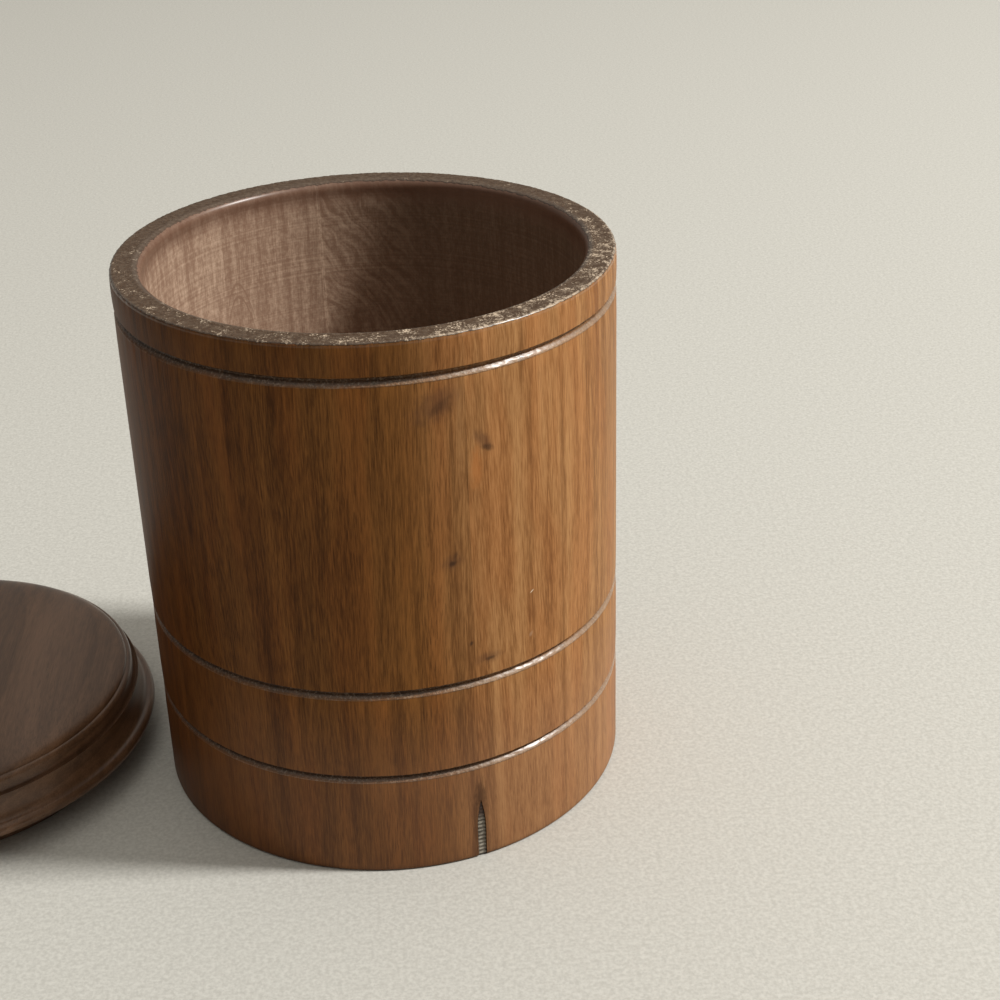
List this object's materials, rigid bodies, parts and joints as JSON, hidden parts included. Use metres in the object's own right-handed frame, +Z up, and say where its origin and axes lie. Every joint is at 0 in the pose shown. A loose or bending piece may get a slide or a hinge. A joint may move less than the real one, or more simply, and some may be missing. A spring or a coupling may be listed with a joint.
{
  "type": "lidded wooden cup",
  "caption": "Straight turned wooden cup with incised lines, glued up from halves, open, beside its lift-off lid with a spigot, raised crown and glued knob.",
  "frame": {"origin": "centre of the cup's base, on the surface that the cup stands on", "axes": "+Z up along the cup's axis, -Y towards the viewer of the picture, +X to the viewer's right; the lid lies on the -X side"},
  "size_m": [0.1648, 0.0872, 0.0933],
  "materials": {
    "cup_left_wood": "satin varnish outside, bare inside",
    "cup_right_wood": "satin varnish outside, bare inside",
    "filler": "matt, ribbed",
    "lid_wood": "satin varnish",
    "knob_wood": "satin varnish"
  },
  "bodies": {
    "cup": {"cup_left_half": "cup_left_wood", "cup_right_half": "cup_right_wood", "seam_filler": "filler"},
    "lid": {"lid": "lid_wood", "lid_knob": "knob_wood"}
  },
  "joints": [
    {"name": "lid_lift", "type": "slide", "parent": "cup", "child": "lid", "axis": [0, 0, 1], "range_m": [0, 0.1]}
  ]
}
